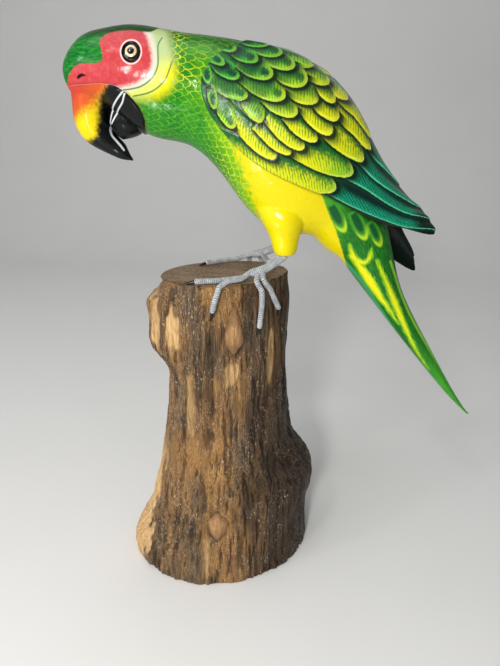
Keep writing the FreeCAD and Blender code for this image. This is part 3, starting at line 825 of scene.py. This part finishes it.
def feather_colour(m, strokes, rough):
    """Short green feathers in front and long yellow ones behind, each with a pale rim."""
    back, aside, depth = m.parts(m.read("barb", vector=True))
    tone, long_kind, _ = m.parts(m.read("look", vector=True))
    along, around, share = m.parts(m.read("chart", vector=True))
    bright = m.fade(tone, 0.0, 0.5, "2a9630", "9ad026")
    bright = m.fade(tone, 0.45, 0.95, bright, "cacb0c")
    middle = m.mix(tone, "0e642a", "247d22")
    dark = m.mix(tone, "053c22", "0e5a22")
    green_tip = m.rise(along, 40.0, 56.0) * m.rise(around, 270.0, 260.0) * 0.7
    # long feathers: bright below the middle, with painted shade above it where the feather over it lies
    lit = m.rise(share + (rough - 0.5), 0.55, -0.3)
    long_look = m.mix(lit, dark, m.mix(green_tip, bright, "62b02a"))
    upper = m.rise(share + rough, -0.5, 0.5, 0.3, 1.0)
    long_look = m.mix(strokes * upper * m.rise(depth, 0.4, 1.8, 0.35, 1.0), long_look, middle)
    # short feathers: dark heart near the tip, bright towards the edge
    heart = m.rise(abs(aside) + (rough - 0.5) * 2.0, 2.0, 0.5)
    heart = heart * m.rise(back, 0.8, 2.4) * m.rise(back, 8.5, 5.0)
    short_look = m.fade(depth, 3.0, 0.8, middle, bright)
    short_look = m.mix(strokes * 0.75, short_look, dark)
    short_look = m.mix(m.most(heart, m.rise(back, 5.0, 10.0) * 0.8), short_look, dark)
    feather = m.mix(long_kind, short_look, long_look)
    rim = m.rise(depth, 0.85, 0.4) * m.rise(aside, 3.6, 1.6, 0.3, 1.0) * m.rise(back, 14.0, 8.0, 0.3, 1.0)
    rim_colour = m.mix(green_tip, m.mix(tone, "4ea02c", "e2e03a"), "a6d056")
    return m.mix(rim * 0.9, feather, rim_colour)


def blade_colour(m, along, depth, rough, fine):
    """Emerald feathers at the wing's tip, with dark strokes, painted shade over their upper part and a pale
    lower edge.
    """
    phase = along * 0.45 + depth * 0.4 + rough * 0.9
    strokes = m.rise(m.math("SINE", phase * TURN), 0.1, 0.8) * m.rise(depth, 0.4, 2.6)
    blade = m.fade(fine, 0.35, 0.75, "0c7f5c", "1a9a72")
    blade = m.mix(strokes * 0.9, blade, "053b33")
    # painted shade over the upper part of each blade, under the blade that lies over it
    blade = m.fade(depth + rough * 2.0, 5.0, 9.5, blade, "04211f")
    blade = m.fade(along + rough * 3.0, 95.0, 103.0, blade, "050f0d", 0.95)
    return m.mix(m.rise(depth, 0.1, 0.25) * m.rise(depth, 0.85, 0.5), blade, "56b894")


# ---------------------------------------------------------------- beak and eyes
def build_lower_beak():
    piece = skin("lower_beak_shell", ["lower_beak"], 0.6)
    points = points_of(piece.data)
    store(piece.data, place=points, cutting=nearest_line(points[:, [0, 2]], CUTTING_LINES))
    m = Paint("beak_black", 0.4, coat=0.22, coat_roughness=0.1, specular=0.1)
    place = m.read("place", vector=True)
    dark = m.fade(m.noise(place, 0.8, 3.0), 0.4, 0.75, "060808", "101314")
    colour = m.fade(m.read("cutting"), 0.52, 0.26, dark, CUTTING_WHITE)
    show(piece, m.finish(colour, m.noise(place, 0.4, 2.0), 0.2), "painted_beak", "lower_beak")


EYE_TILT = 23.0               # degrees that an eye looks up
EYE_RADIUS = 3.9
EYE_PROUD = 1.3               # height of its dome over the rim
EYE_BACK = -1.6               # height of its flat back, inside the head
EYE_SIDE = 17.8               # distance of its rim from the middle of the head


def build_eye(name, side):
    """Domed bead with rings painted under its gloss."""
    tilt = math.radians(EYE_TILT)
    ball = (EYE_RADIUS ** 2 + EYE_PROUD ** 2) / (2 * EYE_PROUD)
    steps, sides = 14, 40
    profile = [(EYE_RADIUS * 0.98, EYE_BACK)]
    for step in range(steps, 0, -1):
        radius = EYE_RADIUS * step / steps
        profile.append((radius, math.sqrt(ball ** 2 - radius ** 2) - ball + EYE_PROUD))
    points, ring = [], []
    for radius, rise in profile:
        for turn in range(sides):
            angle = TURN * turn / sides
            points.append((radius * math.cos(angle), radius * math.sin(angle), rise))
            ring.append(EYE_RADIUS if rise == EYE_BACK else radius)
    points += [(0, 0, EYE_BACK), (0, 0, EYE_PROUD)]
    ring += [EYE_RADIUS, 0]
    turned = Vector((0, side * math.cos(tilt), math.sin(tilt))).to_track_quat("Z", "Y").to_matrix()
    centre = Vector((EYE_X, side * EYE_SIDE, EYE_Z))
    placed = [turned @ Vector(p) + centre for p in points]
    piece = add_object("bead_" + name, make_mesh(name, placed, ring_faces(len(profile), sides)))
    store(piece.data, ring=ring)
    show(piece, eye_paint(name), "eye_enamel", name)


def eye_paint(name):
    """Black pupil, cream ring and dark rim."""
    m = Paint("enamel_" + name, 0.12, coat=1.0, coat_roughness=0.03)
    ring = m.read("ring")
    cream = m.fade(m.noise(m.read("ring", vector=True), 3.0), 0.3, 0.7, "c9a878", "dcc49a")
    colour = m.fade(ring, 1.55, 1.75, "080606", cream)
    return m.finish(m.fade(ring, 2.6, 2.8, colour, "0a0807"))


# ---------------------------------------------------------------- log
# Branch knots: x, z, half width, reach up, reach down
KNOTS = [(4.6, 172.0, 5.0, 15.0, 10.5), (-2.4, 50.0, 5.8, 6.5, 11.5)]
# Bare sapwood: x, z, half width, half height, strength
PALE_PATCHES = [(-29.6, 171.0, 3.4, 13.0, 1.0), (-40.0, 174.0, 4.0, 20.0, 0.8),
                (-19.5, 124.0, 2.4, 16.0, 0.4), (4.6, 146.0, 4.2, 6.0, 0.65),
                (-54.0, 26.0, 6.0, 15.0, 1.0), (-9.0, 22.0, 2.4, 26.0, 0.45)]
SLOT = (26.6, 153.0, 2.0, 18.0)    # narrow hollow in the bark: x, z, half width, half height
LEFT_SIDE = [(0, -60), (27, -56), (58, -46), (87, -41), (122, -37)]    # of the log, from its foot up: z, x
DENT_Z, DENT_DEPTH = 195.3, 2.2    # dent under the rim at the left, which is filled up
SAWN_EDGE = 0.4               # a point this near the log's top or foot lies on a sawn end
FIBRE_DEPTH, FOLD_DEPTH, CRACK_DEPTH = 2.0, 3.0, 1.3    # relief of the bark
BARK_LEVEL = 1.9              # taken off the relief, so that it lies about the skin
BARK_COAT = 0.16


def smooth_knots(mesh, points):
    """Softens the edge where each knot stands out of the bark."""
    near = np.zeros(len(points), bool)
    for x, z, *_ in KNOTS:
        near |= (np.hypot(points[:, 0] - x, points[:, 2] - z) < 17) & (points[:, 1] < 0)
    return spread(mesh, points, ~near, 60)


def knots_at(points, ragged):
    """Distance from a knot's middle as a share of the knot's size, and the crease round the knots."""
    x, y, z = points.T
    knot = np.full(len(points), 9.0)
    crease = np.zeros(len(points))
    for kx, kz, wide, up, down in KNOTS:
        part = np.abs(z - kz) / np.where(z > kz, up, down)
        narrow = 1 - np.where(z > kz, 0.55, 0.0) * np.clip(part, 0, 1)
        gap = np.hypot((x - kx) / (wide * narrow), part)
        gap += 0.9 * (ragged - 0.5) + np.where(y < 0, 0, 9)
        knot = np.minimum(knot, gap)
        crease = np.maximum(crease, np.exp(-((gap - 1.2) / 0.2) ** 2))
    return knot, crease


def pale_wood(points, ragged, slot):
    """Where the bark is off: patches on the front, the left side near the foot, and the hollow."""
    x, y, z = points.T
    pale = 0.6 * ease(1.1, 0.85, slot)
    for px, pz, wide, tall, strength in PALE_PATCHES:
        gap = np.hypot((x - px) / wide, (z - pz) / tall) + 2.6 * (ragged - 0.5)
        pale = np.maximum(pale, strength * ease(1.2, 0.6, gap) * (y < 0))
    inward = x - np.interp(z, *zip(*LEFT_SIDE)) + 9 * (ragged - 0.5)
    return np.maximum(pale, ease(5.5, 2.5, inward) * ease(118, 60, z) * ease(6, -4, y))


def build_log():
    piece = skin("log_trunk", ["log_perch"], 1.5, 2)
    mesh = piece.data
    points, normals = points_of(mesh), normals_of(mesh)
    low, high = [np.array(corner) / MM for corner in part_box("log_perch")]
    points = smooth_knots(mesh, points)
    left_end = ease(-18, -31, points[:, 0])
    points[:, 0] -= DENT_DEPTH * left_end * ease(3.4, 0.8, np.abs(points[:, 2] - DENT_Z))
    x, y, z = points.T
    sawn = (z > high[2] - SAWN_EDGE) | (z < SAWN_EDGE)
    side = np.maximum(ease(0.8, 0.55, np.abs(normals[:, 2])), ease(1.2, 2.6, np.minimum(z, high[2] - z)))
    fibre = layered_noise(points * (0.5, 0.5, 0.05), 3, 4)
    folds = layered_noise(points * (0.13, 0.13, 0.014), 11, 3)
    cracks = ease(0.5, 0.34, layered_noise(points * (0.6, 0.6, 0.045), 23, 3))
    ragged = layered_noise(points * (0.3, 0.3, 0.09), 31, 4)
    knot, crease = knots_at(points, ragged)
    slot = np.hypot((x - SLOT[0]) / SLOT[2], (z - SLOT[1]) / SLOT[3]) + np.where(y < 0, 0, 9)
    calm = ease(1.0, 1.7, knot) * (1 - 0.85 * left_end * ease(187, 193, z))
    bark = FIBRE_DEPTH * (1 - fibre) + FOLD_DEPTH * (1 - folds) + CRACK_DEPTH * cracks - BARK_LEVEL
    depth = bark * calm + 0.8 * crease + 1.1 * ease(1.15, 0.8, slot) - 0.9 * ease(1.0, 0.2, knot)
    outward = normals * (1, 1, 0) / np.maximum(np.hypot(*normals[:, :2].T), 0.3)[:, None]
    shift = np.where(sawn[:, None], 0, -outward * depth[:, None] * 0.85)
    move_points(mesh, np.clip(points + spread(mesh, shift, ~sawn, 60), low, high))
    store(mesh, place=points, side=side, fold=folds, cracks=cracks, knot=knot,
          pale=pale_wood(points, ragged, slot))
    show(piece, log_wood(), "perch_wood", "log_perch")


def bark_colour(m, place, bent, grain, hair):
    """Brown bark, golden in front and dark at the right, with red and grey parts and pale flecks painted as
    glints of light on the varnish.
    """
    x, _, z = m.parts(place)
    broad = m.noise(m.stretch(bent, (0.06, 0.06, 0.016)), 1.0, 3.0)
    red = m.noise(m.stretch(bent, (0.11, 0.11, 0.02)), 1.3, 2.0)
    colour = m.fade(grain, 0.3, 0.7, "4a3522", "86663f")
    golden = m.rise(x, -30.0, -14.0) * m.rise(x, 16.0, 2.0)
    golden = m.rise(broad, 0.4, 0.62) * m.rise(golden, 0.0, 1.0, 0.35, 0.8)
    colour = m.mix(golden, colour, "a87c46")
    colour = m.fade(broad, 0.5, 0.34, colour, "5f5446", 0.55)
    band = m.rise(x, 8.0, 20.0) * m.rise(x, 38.0, 28.0) * m.rise(z, 160.0, 125.0) * m.rise(z, 40.0, 75.0)
    colour = m.mix(band * 0.55, colour, "2b1f13")
    colour = m.fade(red, 0.6, 0.74, colour, "7c4630", 0.45)
    colour = m.fade(hair, 0.48, 0.7, colour, "281b11", 0.75)
    colour = m.fade(hair, 0.46, 0.25, colour, "c8a06a", 0.65)
    colour = m.fade(m.read("fold"), 0.5, 0.3, colour, "261a10", 0.65)
    colour = m.fade(m.read("cracks"), 0.3, 1.0, colour, "20150d", 0.6)
    colour = m.fade(x, 12.0, 42.0, colour, "20150b", 0.85)
    # painted highlight: pale flecks that stand in for glints of light on the varnish, gathered in broad
    # patches
    painted_glint = m.noise(m.stretch(place, (1.3, 1.3, 0.6)), 1.0, 2.0, 0.7)
    glint_patches = m.rise(m.noise(place, 0.05, 2.0), 0.4, 0.58)
    return m.mix(m.rise(painted_glint, 0.58, 0.7) * glint_patches * 0.6, colour, "d8ccb8")


def log_wood():
    m = Paint("weathered_log", 0.6, coat=BARK_COAT, coat_roughness=0.3, specular=0.2)
    place = m.read("place", vector=True)
    bent = m.wobble(place, 0.03, 12.0)
    grain = m.noise(m.stretch(bent, (0.75, 0.75, 0.06)), 1.0, 5.0, 0.65)
    hair = m.noise(m.stretch(place, (2.4, 2.4, 0.16)), 1.0, 3.0, 0.6)
    colour = bark_colour(m, place, bent, grain, hair)
    sapwood = m.fade(grain, 0.3, 0.7, "b98a52", "e2c08a")
    colour = m.mix(m.read("pale") * 0.92, colour, sapwood)
    # pale hearts of the knots, with a dark ring round them
    knot = m.read("knot")
    heart = m.fade(m.noise(m.stretch(place, (0.5, 0.5, 0.2)), 1.0, 3.0), 0.3, 0.75, "9a7048", "b89262")
    heart = m.fade(knot, 0.5, 0.95, heart, "7e583c", 0.75)
    colour = m.fade(knot, 1.08, 0.92, colour, heart)
    colour = m.mix(m.rise(knot, 0.98, 1.1) * m.rise(knot, 1.35, 1.15) * 0.5, colour, "24160d")
    # sawn ends, smoother than the bark and without its gloss
    side = m.read("side")
    rings = m.noise(m.stretch(m.wobble(place, 0.05, 6.0), (0.05, 0.22, 0.1)), 1.0, 4.0)
    colour = m.fade(side, 0.4, 0.05, colour, m.fade(rings, 0.3, 0.75, "6c5540", "8e745a"))
    m.plug(m.shader.inputs["Coat Weight"], side * BARK_COAT)
    relief = (hair * 0.6 + grain) * m.rise(side, 0.0, 0.5, 0.12, 1.0)
    return m.finish(colour, relief, 1.2, m.rise(m.noise(place, 0.5, 3.0), 0.4, 0.7, 0.35, 0.7))


# ---------------------------------------------------------------- legs and feet
TOE_DIA = 3.1
LEG_DIA = 4.8
TOE_LIFT = TOE_DIA / 2 + 0.15    # distance of a toe's middle from the log
THREAD = 1.1                  # pitch of the winding
GROOVE = 0.3                  # depth of the groove between two turns of thread
WINDING_END = 1.2             # length over which a winding's end grows round
CLAW = 6.0                    # length
CLAW_DIA = 2.0
CLAW_LIFT = 0.25              # distance of a claw's tip from the bark
WIRE_BEND = 3.2               # largest bend of a toe
LEG_BEND = 6.0                # largest bend of a leg
LOG_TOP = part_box("log_perch")[1].z / MM
BUNDLE = 0.76                 # distance of the four toe wires from a leg's middle, sideways and up
PLACES = [(-1, 1), (1, 1), (1, -1), (-1, -1)]
# Legs from the thigh to the foot
LEGS = {"left": [(34.0, -14.0, 222.0), (30.4, -14.0, 213.6), (21.0, -13.6, 206.6), (13.4, -13.2, 203.6)],
        "right": [(33.0, 14.0, 221.0), (29.6, 14.6, 213.4), (21.6, 18.6, 208.6), (14.0, 22.8, 205.4)]}


def log_surface():
    mesh = cad["log_perch"].data
    return BVHTree.FromPolygons([v.co / MM for v in mesh.vertices], [p.vertices[:] for p in mesh.polygons])


BARK = log_surface()


def on_top(x, y):
    return (x, y, LOG_TOP + TOE_LIFT)


def on_bark(x, z, side, gap=TOE_LIFT):
    """Point a gap outside the log on its -Y or +Y side."""
    hit, normal, _, _ = BARK.ray_cast(Vector((x, side * 90, z)), Vector((0, -side, 0)))
    return tuple(hit + normal * gap)


def toe_routes():
    """Where each toe leaves its leg, as a share of the last run, and its points to the claw tip."""
    tip = CLAW_LIFT
    left = [
        (1.0, [on_top(8.6, -16.4), on_top(2, -20.6), on_top(-5, -23.8), on_top(-16, -26.6),
               (-22.4, -27.4, 200.25)]),
        (0.9, [(7.6, -19.8, 201.8), (0.6, -24.6, 201.8), (-3.4, -28.6, 199.6), on_bark(-5.4, 194, -1),
               on_bark(-7.2, 186, -1), on_bark(-8.2, 179.6, -1, tip)]),
        (0.5, [(16, -19.6, 201.2), on_bark(18.4, 195.6, -1), on_bark(18.9, 188, -1), on_bark(18, 174.8, -1),
               on_bark(17, 168, -1, tip)]),
        (0.25, [(19.8, -17.8, 201.4), on_bark(23, 195.6, -1), on_bark(25.4, 189.6, -1),
                on_bark(28.2, 182.8, -1), on_bark(29.6, 176.8, -1, tip)]),
    ]
    right = [
        (1.0, [(8, 25.4, 203), on_top(2, 23.6), on_top(-5, 19.6), on_top(-14.4, 12.6),
               (-18.8, 10.4, 200.25)]),
        (0.85, [(11.4, 28.4, 202.6), on_bark(10.6, 197.4, 1), on_bark(9.6, 188, 1),
                on_bark(9, 181.6, 1, tip)]),
        (0.6, [(17.4, 27.6, 203), on_bark(19.6, 197.4, 1), on_bark(21.4, 189, 1),
               on_bark(22.8, 182.6, 1, tip)]),
        (0.35, [on_top(22.6, 22.4), on_top(25.6, 16.4), (26.8, 9.6, 200.25)]),
    ]
    return {"left": left, "right": right}


def bent_path(points, largest, step=0.13):
    """Evenly spaced points on straight runs joined by arcs."""
    points = [Vector(p) for p in points]
    line = [points[0]]
    for before, corner, after in zip(points, points[1:], points[2:]):
        inward, outward = corner - before, after - corner
        shorter = min(inward.length, outward.length)
        inward.normalize()
        outward.normalize()
        half = inward.angle(outward) / 2
        if half < 1e-3:
            continue
        cut = min(0.45 * shorter, largest * math.tan(half))
        for part in range(9):
            u = part / 8
            a, b = corner - inward * cut, corner + outward * cut
            line.append(a * (1 - u) ** 2 + corner * 2 * u * (1 - u) + b * u ** 2)
    line.append(points[-1])
    line = np.array([tuple(p) for p in line])
    run = np.concatenate([[0], np.cumsum(np.linalg.norm(line[1:] - line[:-1], axis=1))])
    even = np.linspace(0, run[-1], int(run[-1] / step))
    return np.column_stack([np.interp(even, run, line[:, axis]) for axis in range(3)]), even


def tube(name, path, radius_at, sides=22):
    """Closed tube along a path; radius_at gives the radius at a length and a share of a turn."""
    line, run = path
    heading = np.gradient(line, axis=0)
    heading /= np.linalg.norm(heading, axis=1)[:, None]
    out = np.cross(heading[0], (0, 0, 1.0))
    points = []
    for centre, ahead, length in zip(line, heading, run):
        out = out - ahead * (out @ ahead)
        out /= np.linalg.norm(out)
        aside = np.cross(ahead, out)
        for turn in range(sides):
            angle = TURN * turn / sides
            radius = radius_at(length, turn / sides)
            points.append(centre + radius * (math.cos(angle) * out + math.sin(angle) * aside))
    points += [line[0], line[-1]]
    piece = add_object(name, make_mesh(name, points, ring_faces(len(line), sides)))
    store(piece.data, place=points)
    return piece


def wound_tube(name, path, diameter, node, material):
    """Round cord of thread turns laid side by side along a path."""
    run, sides = path[1], 22

    def ridge(length, share):
        return abs(math.sin(math.pi * (length / THREAD - share)))

    def radius(length, share):
        ends = min(1.0, 0.5 + min(length, run[-1] - length) / WINDING_END)
        return (diameter / 2 - GROOVE + GROOVE * ridge(length, share) ** 0.7) * ends ** 0.5

    piece = tube(name, path, radius, sides)
    turns = [step / sides for step in range(sides)]
    thread = [(length / THREAD - share, ridge(length, share), TURN * share)
              for length in run for share in turns]
    store(piece.data, thread=thread + [(0, 0, 0), (0, 0, 0)])
    show(piece, material, "winding_thread", node)


def claw_piece(label, base, tip, material):
    """Blackened wire end, hammered to a point, with a short stub inside the winding."""
    ahead = (tip - base).normalized()
    path = bent_path([base - ahead * 1.2, base.lerp(tip, 0.5) - ahead * 0.2, tip], 2.0)
    whole = path[1][-1]

    def radius(length, share):
        return CLAW_DIA / 2 * (1.02 - 0.8 * (length / whole) ** 2.4)

    piece = tube("claw_" + label, path, radius, 14)
    show(piece, material, "claw_wire", "toe_wire_" + label)


def thread_cotton():
    m = Paint("grey_thread", 0.75, specular=0.3)
    m.shader.inputs["Sheen Weight"].default_value = 0.25
    place = m.read("place", vector=True)
    turns, ridge, angle = m.parts(m.read("thread", vector=True))
    twist = m.math("SINE", (angle * 9.0 + turns * 3.0) * 3.0)
    shade = m.noise(place, 0.35, 2.0)
    colour = m.fade(shade, 0.35, 0.7, "999ea3", "bcc0c4")
    # painted shade in the grooves between turns of thread
    colour = m.fade(ridge, 0.7, 0.15, colour, "3c4044", 0.85)
    colour = m.fade(twist, 0.3, 1.0, colour, "e2e4e6", 0.2)
    return m.finish(colour, ridge + twist * 0.15, 0.12)


def build_feet():
    cotton = thread_cotton()
    claw = Paint("black_wire", 0.4, coat=0.2, specular=0.3)
    tone = claw.noise(claw.read("place", vector=True), 0.9, 3.0)
    black = claw.finish(claw.fade(tone, 0.4, 0.8, "060505", "1c1816"), tone, 0.1)
    for side, routes in toe_routes().items():
        points = [Vector(p) for p in LEGS[side]]
        heading = (points[-1] - points[-2]).normalized()
        sideways = heading.cross(Vector((0, 0, 1))).normalized()
        upward = sideways.cross(heading)
        end = points[-1] + heading * 0.8
        leg = bent_path(points[:-1] + [end], LEG_BEND)
        wound_tube("leg_thread_" + side, leg, LEG_DIA, "leg_wrap_" + side, cotton)
        for number, (share, route) in enumerate(routes):
            across, over = PLACES[number]
            offset = sideways * (across * BUNDLE) + upward * (over * BUNDLE)
            start = points[-2].lerp(points[-1], share) + offset
            route = [Vector(p) for p in route]
            claw_base = route[-1] - (route[-1] - route[-2]).normalized() * CLAW
            path = bent_path([start] + route[:-1] + [claw_base], WIRE_BEND)
            label = f"{side}_{number + 1}"
            wound_tube("toe_thread_" + label, path, TOE_DIA, "toe_wrap_" + label, cotton)
            claw_piece(label, claw_base, route[-1], black)


def finish_dowels():
    """Plain turned pegs, hidden inside the bird."""
    m = Paint("dowel_birch", 0.6)
    grain = m.noise(m.stretch(m.where(), (900, 200, 900)), 1.0, 3.0)
    birch = m.finish(m.fade(grain, 0.3, 0.7, "c59a62", "e3c798"), grain, 0.1)
    for name, node in cad.items():
        if "dowel" in name:
            node.data.materials.clear()
            node.data.materials.append(birch)


# ---------------------------------------------------------------- stage
FLOOR_FRONT, FLOOR_BEND, WALL, WALL_TOP, FLOOR_HALF = -1500, 700, 1100, 2200, 2500
AIM = (0, 0, 220)             # where the lights point
WARM, PLAIN, COOL = (1.0, 0.98, 0.95), (1.0, 1.0, 1.0), (0.95, 0.97, 1.0)
# Round lights: place, diameter, power in watts, tint
LIGHTS = {
    "key": ((-131, -617, 427), 110, 3.3, WARM),
    "lamp": ((-715, -389, 605), 60, 0.6, PLAIN),
    "lamp_above": ((-330, -485, 890), 100, 0.7, PLAIN),
    "bounce": ((-163, -312, 58), 44, 0.22, PLAIN),
    "fill": ((-900, -700, 500), 900, 4.0, COOL),
    "top": ((-300, -100, 1300), 900, 3.7, PLAIN),
    "back": ((600, 900, 1100), 900, 1.8, COOL),
}
SKY, SKY_STRENGTH = (0.92, 0.95, 1.0, 1), 0.24
CAMERA_PLACE = (17, -271, 277.9)
CAMERA_TURN = (23.19, -0.77, 1.93)    # degrees down, to the right, and rolled
SENSOR, FOCAL_LENGTH = 36, 25.945946


def build_stage():
    """Pale floor that sweeps up behind, with soft light."""
    bend = WALL - FLOOR_BEND
    rows = [(FLOOR_FRONT, 0.0)]
    for step in range(25):
        angle = math.pi / 2 * step / 24
        rows.append((FLOOR_BEND + bend * math.sin(angle), bend - bend * math.cos(angle)))
    rows.append((WALL, WALL_TOP))
    points = [(x, y, z) for y, z in rows for x in (-FLOOR_HALF, FLOOR_HALF)]
    faces = [(a, a + 1, a + 3, a + 2) for a in range(0, len(points) - 2, 2)]
    floor = add_object("studio_floor", make_mesh("studio_floor", points, faces))
    m = Paint("pale_floor", 0.75, specular=0.25)
    floor.data.materials.append(m.finish(m.mix(m.noise(m.where(), 12.0, 2.0), "dddcd9", "e2e1de")))
    world = bpy.data.worlds.new("studio")
    bpy.context.scene.world = world
    world.use_nodes = True
    sky = world.node_tree.nodes["Background"]
    sky.inputs["Color"].default_value = SKY
    sky.inputs["Strength"].default_value = SKY_STRENGTH
    for name, setting in LIGHTS.items():
        add_light(name, *setting)


def add_light(name, place, size, power, tint):
    lamp = bpy.data.lights.new(name, "AREA")
    lamp.shape = "DISK"
    lamp.size = size * MM
    lamp.energy = power
    lamp.color = tint
    light = bpy.data.objects.new(name, lamp)
    bpy.context.scene.collection.objects.link(light)
    light.location = Vector(place) * MM
    aim = Vector(AIM) - Vector(place)
    light.rotation_euler = aim.to_track_quat("-Z", "Y").to_euler()


def build_camera():
    pitch, yaw, roll = [math.radians(turn) for turn in CAMERA_TURN]
    ahead = Vector((math.sin(yaw) * math.cos(pitch), math.cos(yaw) * math.cos(pitch), -math.sin(pitch)))
    level = Vector((math.cos(yaw), -math.sin(yaw), 0))
    above = level.cross(ahead)
    right = level * math.cos(roll) + above * math.sin(roll)
    up = above * math.cos(roll) - level * math.sin(roll)
    data = bpy.data.cameras.new("camera")
    data.sensor_width = SENSOR
    data.lens = FOCAL_LENGTH
    data.clip_start = 0.01
    camera = bpy.data.objects.new("camera", data)
    bpy.context.scene.collection.objects.link(camera)
    turned = Matrix((right, up, -ahead)).transposed().to_4x4()
    camera.matrix_world = Matrix.Translation(Vector(CAMERA_PLACE) * MM) @ turned
    bpy.context.scene.camera = camera


bpy.context.scene.view_settings.view_transform = "Standard"
build_body()
build_lower_beak()
for wing_name, wing_side in (("wing_left", -1), ("wing_right", 1)):
    build_wing(wing_name, wing_side)
for eye_name, eye_side in (("eye_left", -1), ("eye_right", 1)):
    build_eye(eye_name, eye_side)
build_log()
build_feet()
finish_dowels()
build_stage()
build_camera()
